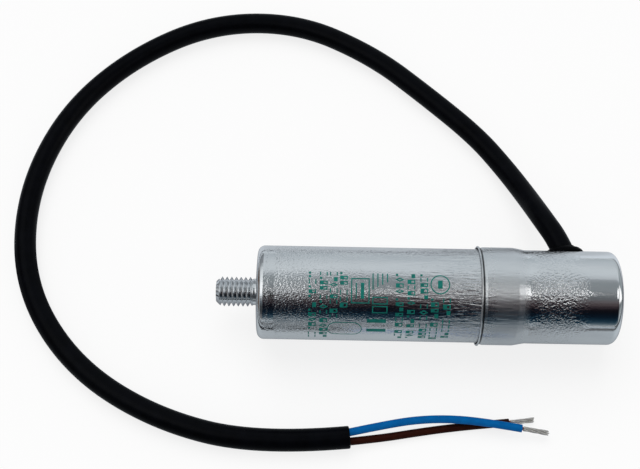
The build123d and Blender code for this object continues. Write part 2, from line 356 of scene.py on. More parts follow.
def addThread(bm, segments):
    # Rows follow the right-hand helix and are held between the neck and the tip
    shape = studShape
    perTurn = shape["pointsPerTurn"]
    turns = math.ceil((shape["length"] - shape["neck"]) / shape["pitch"]) + 1
    rows = []
    for row in range(turns * perTurn + 1):
        ring = []
        for k in range(segments + 1):
            share = k / segments
            distance = shape["neck"] + shape["pitch"] * (row / perTurn - share)
            distance = min(shape["length"], max(shape["neck"], distance))
            radius = studRadius(distance, row / perTurn)
            ring.append(bm.verts.new(aboutCan(xBase - distance, radius, math.tau * share)))
        rows.append(ring)
    for low, high in zip(rows, rows[1:]):
        for k in range(segments):
            corners = [low[k], low[k + 1], high[k + 1], high[k]]
            if max((a.co - b.co).length for a in corners for b in corners) > 1e-8:
                bm.faces.new(corners)


def makeCan():
    shape = canShape
    segments = shape["segments"]
    bore = canRadius - shape["wall"]
    xBead = xRim - shape["beadFromRim"]
    half = shape["beadWidth"] / 2
    flat = shape["beadWidth"] / 6
    groove = canRadius - shape["beadDepth"]
    outline = roundCorners([
        (xBase - studShape["neck"], studNeckRadius),
        (xBase, studNeckRadius, studShape["rootRound"]),
        (xBase, canRadius, shape["baseCorner"]),
        (xBead - half, canRadius, shape["beadTopRound"]), (xBead - flat, groove, shape["beadFloorRound"]),
        (xBead + flat, groove, shape["beadFloorRound"]), (xBead + half, canRadius, shape["beadTopRound"]),
        (xRim, canRadius, shape["rimCorner"]),
        (xRim, canRadius - shape["rimReach"], shape["rimEdgeRound"]),
        (xRim - shape["wall"], canRadius - shape["rimReach"], shape["rimEdgeRound"]),
        (xRim - shape["wall"], bore), (xBead + half, bore),
        (xBead + flat, groove - shape["wall"]), (xBead - flat, groove - shape["wall"]),
        (xBead - half, bore),
        (xBase + shape["baseThickness"], bore, shape["baseCorner"] / 2),
        (xBase + shape["baseThickness"], 0),
    ], steps=10)
    bm = bmesh.new()
    addLathe(bm, splitLong(outline, shape["longestFace"]), aboutCan, segments)
    addThread(bm, segments)
    tip = studShape["tipRadius"]
    addLathe(
        bm, [(xStudTip, tip), (xStudTip, tip * studShape["tipFlat"]), (xStudTip, 0)], aboutCan, segments,
    )
    return finishMesh("canShell", bm, weld=2e-6)


can = makeCan()
print("can made with", len(can.data.polygons), "faces")


# Cap pressed over the can, with the hole that the cable leaves through

capShape = {
    "wall": 0.5 * mm, "lipFlare": 0.3 * mm, "lipLead": 0.2 * mm, "lipWidth": 0.36 * mm,
    "lipFrontRound": 0.26 * mm, "lipBackRound": 0.08 * mm, "lipInnerRound": 0.15 * mm,
    # Groove behind the lip: place past it, depth under the sleeve's outside, rounding
    "groove": [(0.4 * mm, 0.22 * mm, 0.1 * mm), (1.4 * mm, 0.01 * mm, 1 * mm)],
    "flareLength": 2.6 * mm, "flareRound": 4 * mm, "sleeveLength": 9.3 * mm, "stepLength": 3.2 * mm,
    "stepDrop": 0.6 * mm, "stepRound": 3.5 * mm, "endCorner": 2.2 * mm, "longestFace": 1.2 * mm,
    "segments": 192, "holeFromLip": 24.4 * mm, "holeDiameter": 8.2 * mm, "holeSegments": 96,
}
xHole = xLip + capShape["holeFromLip"]
sleeveRadius = capLipRadius - capShape["lipFlare"]
neckRadius = sleeveRadius - capShape["stepDrop"]


def capOutline():
    shape = capShape
    wall = shape["wall"]
    xEdge = xLip - shape["lipLead"]
    xFlare = xLip + shape["flareLength"]
    xStep = xLip + shape["sleeveLength"]
    xNeck = xStep + shape["stepLength"]
    bend = shape["stepRound"]
    groove = [(xLip + x, sleeveRadius - depth, rounding) for x, depth, rounding in shape["groove"]]
    return roundCorners([
        (xEdge, capLipRadius, shape["lipFrontRound"]),
        (xEdge + shape["lipWidth"], capLipRadius, shape["lipBackRound"]),
        *groove, (xFlare, sleeveRadius, shape["flareRound"]),
        (xStep, sleeveRadius, bend), (xNeck, neckRadius, bend),
        (xCapEnd, neckRadius, shape["endCorner"]), (xCapEnd, 0),
        (xCapEnd - wall, 0), (xCapEnd - wall, neckRadius - wall, shape["endCorner"] - wall),
        (xNeck, neckRadius - wall, bend), (xStep, sleeveRadius - wall, bend),
        (xFlare, sleeveRadius - wall, shape["flareRound"]),
        (xEdge, capLipRadius - wall, shape["lipInnerRound"]),
    ], steps=10)


def cutAway(piece, cutter):
    change = piece.modifiers.new("cut", "BOOLEAN")
    change.operation = "DIFFERENCE"
    change.solver = "EXACT"
    change.object = cutter
    evaluated = piece.evaluated_get(bpy.context.evaluated_depsgraph_get())
    mesh = bpy.data.meshes.new_from_object(evaluated)
    piece.modifiers.remove(change)
    piece.data = mesh
    bpy.data.objects.remove(cutter)
    shadeMesh(mesh)


def makeCap():
    shape = capShape
    bm = bmesh.new()
    outline = capOutline()
    outline = splitLong(outline + outline[:1], shape["longestFace"])
    addLathe(bm, outline, aboutCan, shape["segments"])
    cap = finishMesh("capShell", bm, weld=1e-6)
    drill = bmesh.new()
    hole = shape["holeDiameter"] / 2
    addLathe(
        drill, [(0, 0), (0, hole), (2 * capLipRadius, hole), (2 * capLipRadius, 0)],
        lambda y, r, turn: (xHole + r * math.cos(turn), y, axisZ + r * math.sin(turn)),
        shape["holeSegments"],
    )
    cutAway(cap, finishMesh("capDrill", drill))
    return cap


cap = makeCap()
print("cap made with", len(cap.data.polygons), "faces")


# Grommet: domed rubber button with a collar that leans with the cable

grommetShape = {
    # Dome in millimetres: height over the cap's wall, radius, and how far it follows the cap's curve
    "dome": [
        (1.45, 0, 0.15), (1.43, 2.6, 0.2), (1.33, 3.7, 0.25), (1.13, 4.3, 0.35), (0.8, 4.75, 0.5),
        (0.42, 5.02, 0.7), (0.15, 5.1, 0.9), (0, 5.02, 1), (0, 4.1, 1),
    ],
    # The same for the flange inside the cap, with depths below the wall's inner side
    "flange": [(0, 4.1, 1), (0, 5, 1), (0.2, 5.1, 0.9), (1.4, 4.9, 0.2), (1.7, 4.4, 0), (1.7, 0, 0)],
    "collarReach": 1.33 * mm, "collarFoot": 0.5 * mm, "collarWall": 0.14 * mm, "collarRound": 0.15 * mm,
    "mouthWidth": 0.05 * mm, "mouthDepth": 0.2 * mm, "lean": 18.0, "boreReach": 9 * mm, "segments": 96,
}


def makeGrommet():
    shape = grommetShape
    lean = math.radians(shape["lean"])
    towards = Vector((-math.sin(lean), math.cos(lean), 0))
    leaning = aboutLine(Vector((xHole, neckRadius, axisZ)), towards)
    segments = shape["segments"]
    inside = -capShape["wall"]
    profile = [(height * mm, reach * mm, follow) for height, reach, follow in shape["dome"]]
    profile += [(inside - depth * mm, reach * mm, follow) for depth, reach, follow in shape["flange"]]

    def place(rowNumber, radius, turn):
        height, reach, follow = profile[round(rowNumber)]
        side = reach * math.sin(turn)
        sag = neckRadius - math.sqrt(neckRadius ** 2 - side ** 2)
        return (xHole + reach * math.cos(turn), neckRadius + height - sag * follow, axisZ + side)

    bm = bmesh.new()
    addLathe(bm, [(n, row[1]) for n, row in enumerate(profile)], place, segments)
    button = finishMesh("grommetButton", bm, sharpAngle=50)
    sheathRadius = sheathShape["diameter"] / 2
    far = shape["boreReach"]
    bore = bmesh.new()
    addLathe(bore, [(-far, 0), (-far, sheathRadius), (far, sheathRadius), (far, 0)], leaning, segments)
    cutAway(button, finishMesh("grommetBore", bore))
    reach = shape["collarReach"] / math.cos(lean)
    outer = sheathRadius + shape["collarWall"]
    foot = -shape["collarFoot"]
    collar = bmesh.new()
    collar.from_mesh(button.data)
    outline = roundCorners([
        (foot, sheathRadius), (foot, outer), (reach, outer, shape["collarRound"]),
        (reach, sheathRadius + shape["mouthWidth"]), (reach - shape["mouthDepth"], sheathRadius),
    ])
    addLathe(collar, outline, leaning, segments, closed=True)
    bpy.data.objects.remove(button)
    return finishMesh("grommetButton", collar, sharpAngle=50)


grommet = makeGrommet()
print("grommet made")


# Print on the can: rows of plain bars and boxes and a few simple outlines, in one ink

printShape = {
    "lift": 0.02 * mm, "sink": 0.03 * mm, "stroke": 0.3 * mm, "step": 0.5 * mm,
    "rowHeight": 2.0 * mm, "gap": 0.42 * mm, "groupGap": 0.9 * mm, "dot": 0.6 * mm, "seed": 11,
}
# Each row: place along the can, and first and last angle from the top towards the near side
printRows = [
    (-27.5, -6.0, 82.0), (-24.6, -6.0, 82.0), (-22.0, -6.0, 46.0), (-19.4, -6.0, 34.0),
    (-5.0, -5.0, 84.0), (-2.0, -5.0, 84.0), (1.3, -5.0, 84.0), (4.1, 24.0, 88.0), (7.2, 24.0, 86.0),
]


def arcLength(degrees):
    return math.radians(degrees) * canRadius


def addStroke(bm, points, width, closed=False):
    # points are (along the can, round the can) in metres; the stroke is a thin closed solid
    line = [Vector(point) for point in points]
    ends = line + line[:1] if closed else line
    fine = []
    for start, end in zip(ends, ends[1:]):
        count = max(1, math.ceil((end - start).length / printShape["step"]))
        fine.extend(start + (end - start) * step / count for step in range(count))
    if not closed:
        fine.append(ends[-1])
    total = len(fine)
    rows = []
    for index, here in enumerate(fine):
        before = fine[index - 1] if closed or index > 0 else here
        after = fine[(index + 1) % total] if closed or index < total - 1 else here
        runs = [run.normalized() for run in (here - before, after - here) if run.length > 0]
        middle = (runs[0] + runs[-1]).normalized()
        side = Vector((-middle.y, middle.x))
        flat = Vector((-runs[0].y, runs[0].x))
        reach = width / 2 / max(0.5, side.dot(flat))
        row = []
        for lift, sign in ((1, 1), (1, -1), (0, -1), (0, 1)):
            x, arc = here + side * reach * sign
            turn = arc / canRadius
            radius = canRadius + (printShape["lift"] if lift else -printShape["sink"])
            row.append(bm.verts.new((x, -radius * math.sin(turn), axisZ + radius * math.cos(turn))))
        rows.append(row)
    if not closed:
        bm.faces.new(list(reversed(rows[0])))
        bm.faces.new(rows[-1])
    addSkin(bm, rows, closed)


def addBar(bm, x, arcLow, arcHigh, width):
    addStroke(bm, [(x, arcLow), (x, arcHigh)], width)


def addBox(bm, xLow, xHigh, arcLow, arcHigh, width):
    corners = [(xLow, arcLow), (xHigh, arcLow), (xHigh, arcHigh), (xLow, arcHigh)]
    addStroke(bm, corners, width, closed=True)


def addPrintRow(bm, x, arcStart, arcEnd, draw):
    # Groups of half-filled tiles, diamonds, twin bars, blocks and dots, with wider gaps between groups
    height = printShape["rowHeight"]
    stroke = printShape["stroke"]
    low = x - height / 2
    high = x + height / 2
    arc = arcStart
    left = draw.randint(3, 6)
    while arc < arcEnd:
        kind = draw.choice(("tile", "tile", "diamond", "twin", "twin", "block", "dot"))
        width = draw.choice((1.0, 1.15, 1.3)) * mm
        middle = arc + width / 2
        inset = stroke / 2
        if kind == "tile":
            addBox(bm, low + inset, high - inset, arc + inset, arc + width - inset, stroke)
            addBar(bm, x - height / 4, arc, arc + width, height / 2)
        elif kind == "diamond":
            tall = height / 2 - inset
            wide = width / 2 - inset
            corners = [(x - tall, middle), (x, middle + wide), (x + tall, middle), (x, middle - wide)]
            addStroke(bm, corners, stroke, closed=True)
        elif kind == "twin":
            for place in (low + inset, high - inset):
                addBar(bm, place, arc, arc + width, stroke)
        elif kind == "block":
            addBar(bm, x + height / 4, arc, arc + width, height / 2)
        else:
            width = printShape["dot"]
            addBar(bm, low + width / 2, arc, arc + width, width)
        arc += width + printShape["gap"]
        left -= 1
        if left == 0:
            arc += printShape["groupGap"]
            left = draw.randint(3, 7)


def ringPoints(x, arc, radius, count=40):
    turns = [math.tau * k / count for k in range(count)]
    return [(x + radius * math.cos(turn), arc + radius * math.sin(turn)) for turn in turns]


def makePrint():
    draw = random.Random(printShape["seed"])
    stroke = printShape["stroke"]
    bm = bmesh.new()
    for x, first, last in printRows:
        addPrintRow(bm, x * mm, arcLength(first), arcLength(last), draw)
    # ring with a solid middle
    addStroke(bm, ringPoints(5.45 * mm, arcLength(7.5), 2.4 * mm), stroke, closed=True)
    addBar(bm, 5.45 * mm, arcLength(2.5), arcLength(12.5), 1.2 * mm)
    # framed pair of bars
    addBox(bm, -17.4 * mm, -12.9 * mm, arcLength(2), arcLength(31), stroke)
    addBar(bm, -16.2 * mm, arcLength(7), arcLength(26), stroke)
    addBar(bm, -14.6 * mm, arcLength(7), arcLength(26), 0.9 * mm)
    # four plain bars of falling length
    for number in range(4):
        x = (-11.9 + 1.25 * number) * mm
        addBar(bm, x, arcLength(-5), arcLength(15 - 3 * number), stroke)
    # two thin outlines side by side
    for number in range(2):
        low = arcLength(24 + 11 * number)
        addBox(bm, -11.9 * mm, -8.2 * mm, low, low + 1.7 * mm, stroke)
    # long thin frame with rounded ends
    longFrame = []
    frameRound = 2.3 * mm
    for x, first in ((-16.9, -90), (-21.2, 90)):
        for k in range(13):
            turn = math.radians(first + 15 * k)
            arc = arcLength(67.5) + frameRound * math.sin(turn)
            longFrame.append((x * mm + frameRound * math.cos(turn), arc))
    addStroke(bm, longFrame, 0.22 * mm, closed=True)
    # two heavy bars
    for number in range(2):
        low = arcLength(54 + 15 * number)
        addStroke(bm, [(-13.3 * mm, low), (-8.3 * mm, low)], 1.1 * mm)
    return finishMesh("canPrint", bm, sharpAngle=40)


canPrint = makePrint()
print("print made with", len(canPrint.data.polygons), "faces")


# Materials

def feed(tree, value, socket):
    # value is another node's output, or a constant
    if isinstance(value, bpy.types.NodeSocket):
        tree.links.new(value, socket)
    else:
        socket.default_value = value


def fill(tree, node, sockets):
    # Names may be written with underscores for spaces
    for name, value in sockets.items():
        feed(tree, value, node.inputs[name.replace("_", " ")])
    return node


def addNode(tree, kind, **sockets):
    return fill(tree, tree.nodes.new(kind), sockets)


def addGroup(tree, group, **sockets):
    node = tree.nodes.new("ShaderNodeGroup")
    node.node_tree = group
    return fill(tree, node, sockets)


def addMath(tree, operation, *values, kind="ShaderNodeMath", result="Value"):
    # values follow the order of the node's inputs
    node = tree.nodes.new(kind)
    node.operation = operation
    for socket, value in zip(node.inputs, values):
        feed(tree, value, socket)
    return node.outputs[result]


def addMix(tree, share, first, second, blend="MIX"):
    mix = tree.nodes.new("ShaderNodeMix")
    mix.data_type = "RGBA"
    mix.blend_type = blend
    for name, value in (("Factor", share), ("A", first), ("B", second)):
        feed(tree, value, mix.inputs[name])
    return mix.outputs["Result"]


def objectPlace(tree):
    return tree.nodes.new("ShaderNodeTexCoord").outputs["Object"]


def stretched(tree, amount):
    # Places with X multiplied by amount, so that under 1 draws the pattern out along the can
    shape = addNode(tree, "ShaderNodeCombineXYZ", X=amount, Y=1.0, Z=1.0).outputs["Vector"]
    return addMath(
        tree, "MULTIPLY", objectPlace(tree), shape, kind="ShaderNodeVectorMath", result="Vector",
    )


def newGroup(name, inputs, outputs):
    # inputs hold each socket's first value, and four numbers are a colour
    group = bpy.data.node_groups.new(name, "ShaderNodeTree")
    for label, value in inputs.items():
        kind = "NodeSocketColor" if isinstance(value, tuple) else "NodeSocketFloat"
        socket = group.interface.new_socket(name=label, in_out="INPUT", socket_type=kind)
        socket.default_value = value
    for label in outputs:
        kind = "NodeSocketColor" if label == "Color" else "NodeSocketFloat"
        group.interface.new_socket(name=label, in_out="OUTPUT", socket_type=kind)
    return group, group.nodes.new("NodeGroupInput").outputs, group.nodes.new("NodeGroupOutput")


# Noise behind the shared effects, each with its scale unless the finish sets that
noises = {
    "wide": {"Detail": 4.0, "Roughness": 0.55},
    "fine": {"Detail": 3.0, "Roughness": 0.6},
    "dents": {"Detail": 1.0, "Roughness": 0.45},
    "lines": {"Scale": 1500.0, "Detail": 3.0, "Roughness": 0.55},
    "waves": {"Scale": 120.0, "Detail": 2.0, "Roughness": 0.5},
}
effectShape = {"finer": 6.0, "low": 0.3, "high": 0.7, "lineStretch": (0.17, 1.0, 1.0), "middle": 0.5}


def addNoise(tree, name, place, **sockets):
    return addNode(tree, "ShaderNodeTexNoise", Vector=place, **noises[name], **sockets).outputs["Fac"]


def spreadOf(tree, value, **limits):
    # Noise lies mostly between low and high, which are spread over the limits
    low = effectShape["low"]
    high = effectShape["high"]
    spread = addNode(tree, "ShaderNodeMapRange", Value=value, From_Min=low, From_Max=high, **limits)
    return spread.outputs["Result"]


def makeSurfaceGroup():
    # Soft variation of colour and roughness with a fine relief, stretched along the can if asked
    group, given, end = newGroup(
        "surfaceVariation",
        {
            "Light Color": (0.8, 0.8, 0.8, 1), "Dark Color": (0.6, 0.6, 0.6, 1), "Scale": 500.0,
            "Stretch": 1.0, "Low Roughness": 0.3, "High Roughness": 0.5,
        },
        ("Color", "Roughness", "Height"),
    )
    place = stretched(group, given["Stretch"])
    fineScale = addMath(group, "MULTIPLY", given["Scale"], effectShape["finer"])
    wide = addNoise(group, "wide", place, Scale=given["Scale"])
    fine = addNoise(group, "fine", place, Scale=fineScale)
    rough = spreadOf(group, fine, To_Min=given["Low Roughness"], To_Max=given["High Roughness"])
    colour = addMix(group, spreadOf(group, wide), given["Dark Color"], given["Light Color"])
    fill(group, end, {"Color": colour, "Roughness": rough, "Height": fine})
    return group


def makeDentGroup():
    # Grain of fine dents that fades into lengthwise drawing lines, for the bare metal pieces
    group, given, end = newGroup(
        "drawnMetalRelief",
        {
            "Dent Scale": 1800.0, "Dent Stretch": 1.0, "Dent Depth": 1.0, "Line Depth": 0.5,
            "Smooth Depth": 0.1, "Dent Share": 1.0, "Line Share": 0.0,
        },
        ("Height",),
    )
    place = objectPlace(group)
    drawn = addNode(group, "ShaderNodeMapping", Vector=place, Scale=effectShape["lineStretch"])
    dents = addNoise(group, "dents", stretched(group, given["Dent Stretch"]), Scale=given["Dent Scale"])
    lines = addNoise(group, "lines", drawn.outputs["Vector"])
    waves = addNoise(group, "waves", place)
    parts = []
    for noise, name in ((dents, "Dent"), (lines, "Line")):
        deep = addMath(group, "MULTIPLY", given[name + " Depth"], given[name + " Share"])
        level = addMath(group, "SUBTRACT", noise, effectShape["middle"])
        parts.append(addMath(group, "MULTIPLY", level, deep))
    slow = addMath(group, "MULTIPLY", waves, given["Smooth Depth"])
    height = addMath(group, "ADD", addMath(group, "ADD", *parts), slow)
    feed(group, height, end.inputs["Height"])
    return group


surfaceGroup = makeSurfaceGroup()
dentGroup = makeDentGroup()


def newMaterial(name, kind="ShaderNodeBsdfPrincipled"):
    material = bpy.data.materials.new(name)
    material.use_nodes = True
    tree = material.node_tree
    tree.nodes.clear()
    shader = tree.nodes.new(kind)
    addNode(tree, "ShaderNodeOutputMaterial", Surface=shader.outputs[0])
    return material, tree, shader


def dress(tree, shader, colour, roughness, height, relief):
    # relief is in millimetres
    bump = addNode(tree, "ShaderNodeBump", Strength=1.0, Distance=relief * mm, Height=height)
    fill(tree, shader, {"Base Color": colour, "Roughness": roughness, "Normal": bump.outputs["Normal"]})


def makeFinish(name, light, dark, roughness, scale, relief, stretch=1.0, **constants):
    # A finish that needs only the shared variation; constants go straight onto the shader
    material, tree, shader = newMaterial(name)
    surface = addGroup(
        tree, surfaceGroup, Light_Color=(*light, 1), Dark_Color=(*dark, 1), Scale=scale,
        Stretch=stretch, Low_Roughness=roughness[0], High_Roughness=roughness[1],
    ).outputs
    dress(tree, shader, surface["Color"], surface["Roughness"], surface["Height"], relief)
    fill(tree, shader, constants)
    return material


def rampOf(tree, value, stops, unit=1, interpolation="EASE"):
    # Stops are a place and a colour, or a place and a grey; unit brings the places to the value's own
    low = stops[0][0]
    high = stops[-1][0]
    spread = addNode(
        tree, "ShaderNodeMapRange", Value=value, From_Min=low * unit, From_Max=high * unit,
    )
    ramp = addNode(tree, "ShaderNodeValToRGB", Fac=spread.outputs["Result"])
    ramp.color_ramp.interpolation = interpolation
    elements = ramp.color_ramp.elements
    while len(elements) > 1:
        elements.remove(elements[-1])
    elements[0].position = 0
    for place, *colour in stops:
        share = (place - low) / (high - low)
        element = elements.new(share) if share > 0 else elements[0]
        element.color = (*(colour * 3)[:3], 1)
    return ramp.outputs["Color"]


def alongCan(tree, stops):
    # Grey by the place along the can, from stops in millimetres
    parts = addNode(tree, "ShaderNodeSeparateXYZ", Vector=objectPlace(tree))
    return rampOf(tree, parts.outputs["X"], stops, mm, "LINEAR")


def makeMetalFinish(name, values):
    # Bare drawn metal; roughness, dents, drawing lines and painted shade change along the can as the values
    # say
    values = {**bareMetal, **values}
    material, tree, shader = newMaterial(name)
    smooth = alongCan(tree, values["roughStops"])
    surface = addGroup(
        tree, surfaceGroup, Light_Color=(*values["light"], 1), Dark_Color=(*values["dark"], 1),
        Scale=values["scale"], Stretch=values["stretch"], Low_Roughness=smooth,
        High_Roughness=addMath(tree, "MULTIPLY", smooth, values["roughSpread"]),
    ).outputs
    relief = addGroup(
        tree, dentGroup, Dent_Scale=values["dentScale"], Dent_Stretch=values["dentStretch"],
        Dent_Depth=values["dentDepth"], Line_Depth=values["lineDepth"], Smooth_Depth=values["waveDepth"],
        Dent_Share=alongCan(tree, values["dentStops"]), Line_Share=alongCan(tree, values["lineStops"]),
    ).outputs
    # colour multiplied by painted shade along the can: darker under the cap's lip and in the groove behind
    # it
    colour = addMix(tree, 1.0, surface["Color"], alongCan(tree, values["paintedShadeStops"]), "MULTIPLY")
    dress(tree, shader, colour, surface["Roughness"], relief["Height"], values["relief"])
    shader.inputs["Metallic"].default_value = 1.0
    return material


bareMetal = {"light": (0.83, 0.84, 0.85), "dark": (0.75, 0.765, 0.78), "stretch": 0.25, "relief": 0.1}
# Stops give the place along the can in millimetres and the value there
canMetal = {
    "scale": 260.0, "roughSpread": 1.4, "dentScale": 2950.0, "dentStretch": 0.7, "dentDepth": 0.95,
    "lineDepth": 3.0, "waveDepth": 0.1,
    "roughStops": [(-53.3, 0.08), (-12, 0.08), (25, 0.09)],
    "dentStops": [
        (-53.3, 0), (-42.6, 0), (-40.4, 0.2), (-39.2, 0.8), (-38.8, 0.35), (-37.6, 0.35), (-37.3, 1),
        (-14, 0.8), (-2, 0.25), (8, 0.08), (20, 0.05),
    ],
    "lineStops": [(-53.3, 0), (-42.5, 0.03), (-10, 0.08), (4, 0.6), (20, 1)],
    # painted shade: the can darker from the cap's lip on, where it runs under the cap
    "paintedShadeStops": [(-53.3, 1), (16, 1), (16.4, 0.6), (25, 0.6)],
}
capMetal = {
    "scale": 220.0, "roughSpread": 1.25, "dentScale": 1900.0, "dentStretch": 1.0, "dentDepth": 2.2,
    "lineDepth": 1.3, "waveDepth": 0.08,
    "roughStops": [
        (16, 0.12), (17.3, 0.2), (20.5, 0.27), (27, 0.27), (28.6, 0.17), (29.3, 0.08), (43, 0.08),
        (47, 0.1), (53.3, 0.1),
    ],
    "dentStops": [
        (16, 0.02), (27, 0.05), (29.5, 0.3), (32, 0.9), (39, 1), (42, 0.5), (45, 0.05), (51.5, 0),
    ],
    "lineStops": [(16, 0.2), (18, 0.8), (26, 0.6), (29, 0.1), (41, 0.25), (45, 0.06)],
    # painted shade: a near-black band in the groove just behind the cap's lip
    "paintedShadeStops": [(16, 1), (16.53, 1), (16.6, 0.06), (16.98, 0.06), (17.12, 1), (53.3, 1)],
}
# Light and dark colour, roughness from and to, scale of the variation, relief in millimetres, constants
plainFinishes = {
    "greenInk": ((0, 0.22, 0.18), (0, 0.13, 0.11), (0.3, 0.45), 900, 0.004, {"Metallic": 0.35}),
    "tinnedWire": (
        (0.90, 0.87, 0.83), (0.72, 0.69, 0.65), (0.14, 0.22), 700, 0.003, {"stretch": 0.3, "Metallic": 0.85},
    ),
    "blackRubber": (
        (0.0018, 0.0020, 0.0026), (0.0009, 0.0010, 0.0013), (0.3, 0.42), 900, 0.004,
        {"Specular_IOR_Level": 0.02},
    ),
    "blackSheath": (
        (0.0014, 0.0017, 0.0030), (0.0006, 0.0008, 0.0014), (0.26, 0.38), 300, 0.005,
        {"Specular_IOR_Level": 0.05},
    ),
    "blueInsulation": (
        (0, 0.118, 0.37), (0, 0.088, 0.30), (0.38, 0.5), 500, 0.008, {"Specular_IOR_Level": 0.05},
    ),
    "brownInsulation": (
        (0.031, 0.0055, 0.0025), (0.017, 0.003, 0.0015), (0.34, 0.45), 500, 0.008,
        {"Specular_IOR_Level": 0.06},
    ),
    "insulatorBoard": ((0.60, 0.48, 0.30), (0.48, 0.37, 0.22), (0.7, 0.85), 800, 0.02, {}),
    "clearFilm": ((0.72, 0.72, 0.69), (0.62, 0.62, 0.60), (0.3, 0.45), 400, 0.005, {}),
    "metallisedFilm": (
        (0.66, 0.67, 0.70), (0.55, 0.56, 0.59), (0.25, 0.4), 500, 0.01, {"stretch": 4, "Metallic": 1},
    ),
    "sprayedZinc": ((0.50, 0.50, 0.51), (0.32, 0.32, 0.33), (0.55, 0.8), 1500, 0.06, {"Metallic": 1}),
    "mouldedLid": ((0.060, 0.052, 0.047), (0.040, 0.035, 0.031), (0.45, 0.6), 700, 0.015, {}),
    "greyPlastic": ((0.52, 0.52, 0.49), (0.44, 0.44, 0.41), (0.45, 0.6), 500, 0.01, {}),
    "tinnedBrass": ((0.74, 0.68, 0.50), (0.60, 0.52, 0.34), (0.25, 0.4), 900, 0.01, {"Metallic": 1}),
    "solderMetal": ((0.62, 0.62, 0.62), (0.46, 0.46, 0.46), (0.22, 0.42), 1200, 0.03, {"Metallic": 1}),
    "sleeving": ((0.70, 0.67, 0.60), (0.60, 0.57, 0.50), (0.5, 0.65), 700, 0.01, {}),
}
bareCopper = (0.45, 0.13, 0.06, 1)


def showCopper(material):
    # Copper shows on the tinned wires where the insulation was stripped
    tree = material.node_tree
    shader = tree.nodes["Principled BSDF"]
    tin = shader.inputs["Base Color"].links[0].from_socket
    copper = tree.nodes.new("ShaderNodeAttribute")
    copper.attribute_name = "copperShare"
    feed(tree, addMix(tree, copper.outputs["Fac"], tin, bareCopper), shader.inputs["Base Color"])


finishes = {
    "bareCan": makeMetalFinish("bareCan", canMetal),
    "bareCap": makeMetalFinish("bareCap", capMetal),
}
for name, (*values, constants) in plainFinishes.items():
    finishes[name] = makeFinish(name, *values, **constants)
showCopper(finishes["tinnedWire"])
print("finishes made:", len(finishes))


# New pieces: what each stands for, its finish and its slot in the record

newPieces = [
    (can, ["can"], "bareCan", "bare_can"),
    (canPrint, [], "greenInk", None),
    (cap, ["cap"], "bareCap", "bare_cap"),
    (grommet, ["grommet"], "blackRubber", "black_rubber"),
    (sheath, ["cable_sheath"], "blackSheath", "black_sheath"),
    (sheathLip, [], "blackSheath", "black_sheath"),
    (cores["blue"], ["core_blue"], "blueInsulation", "blue_insulation"),
    (cores["brown"], ["core_brown"], "brownInsulation", "brown_insulation"),
    (strands["blue"], ["strands_blue"], "tinnedWire", "tinned_strands"),
    (strands["brown"], ["strands_brown"], "tinnedWire", "tinned_strands"),
]
for piece, nodes, finish, slotName in newPieces:
    piece.data.materials.clear()
    piece.data.materials.append(finishes[finish])
    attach(piece, "root")
    if nodes:
        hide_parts(*nodes)

# Pieces inside the can and cap keep their modelled shape and take a finish
innerNodes = {
    "insulatorBoard": ["base_insulator"], "clearFilm": ["can_liner"], "greyPlastic": ["winding_mandrel"],
    "metallisedFilm": ["film_winding"], "sprayedZinc": ["contact_layer_base", "contact_layer_lid"],
    "solderMetal": ["winding_lead_base", "winding_lead_lid", "solder_blue", "solder_brown"],
    "mouldedLid": ["lid"], "blackRubber": ["lid_seal"], "tinnedBrass": ["terminal_blue", "terminal_brown"],
    "sleeving": ["insulating_sleeve_blue", "insulating_sleeve_brown"],
    "blueInsulation": ["inner_core_blue"], "brownInsulation": ["inner_core_brown"],
}
for finish, nodes in innerNodes.items():
    for node in nodes:
        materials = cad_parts[node].data.materials
        materials.clear()
        materials.append(finishes[finish])

print("pieces placed on the frame")


# Floor, surround and light

floorShape = {
    "reach": 3.0, "drop": 0.02 * mm, "color": (0.93, 0.93, 0.93), "whiteShare": 0.8,
    "glowHalfLength": 1.0,
}
lightLevels = {"ambient": 0.56, "sun": 1.45, "sunSize": 50.0, "sunTilt": (-28.0, -10.0)}
surroundShape = {
    "radius": 0.5, "ends": (-0.55, 0.6), "first": -92.0, "last": 92.0, "steps": 46,
    "baseEnd": (-0.090, -0.110), "capEnd": (0.50, 0.54),
}
# What the metal reflects, by angle from straight up, towards the near side below 0
surroundStops = [
    (-92, 0.27, 0.31, 0.335), (-86, 0.08, 0.12, 0.145), (-80, 0.014, 0.040, 0.064),
    (-74, 0.006, 0.020, 0.036), (-66, 0.003, 0.008, 0.016), (-58, 0.003, 0.005, 0.009),
    (-50, 0.005, 0.0045, 0.007), (-43, 0.030, 0.022, 0.027), (-36, 0.078, 0.062, 0.066),
    (-29, 0.12, 0.107, 0.113), (-22, 0.125, 0.135, 0.145), (-12, 0.165, 0.18, 0.19),
    (0, 0.24, 0.265, 0.28), (16, 0.255, 0.285, 0.30), (23, 0.32, 0.35, 0.37),
    (29, 0.53, 0.57, 0.60), (40, 0.62, 0.67, 0.70), (53, 0.61, 0.66, 0.69),
    (60, 0.59, 0.635, 0.665), (70, 0.535, 0.585, 0.62), (80, 0.49, 0.54, 0.575),
    (88, 0.46, 0.51, 0.54), (92, 0.46, 0.51, 0.54),
]
# The same for what lies out past the base, which only the base's rounded edge reflects
baseEndStops = [
    (-92, 0.15, 0.15, 0.15), (-82, 0.13, 0.14, 0.15), (-74, 0.05, 0.055, 0.06),
    (-58, 0.05, 0.055, 0.06), (-43, 0.12, 0.14, 0.16), (-36, 0.31, 0.33, 0.35),
    (-27, 0.80, 0.84, 0.86), (-20, 1.12, 1.14, 1.15), (0, 1.10, 1.12, 1.13),
    (12, 0.86, 0.9, 0.92), (35, 0.74, 0.78, 0.80), (50, 0.48, 0.52, 0.54),
    (60, 0.26, 0.28, 0.30), (92, 0.20, 0.22, 0.24),
]
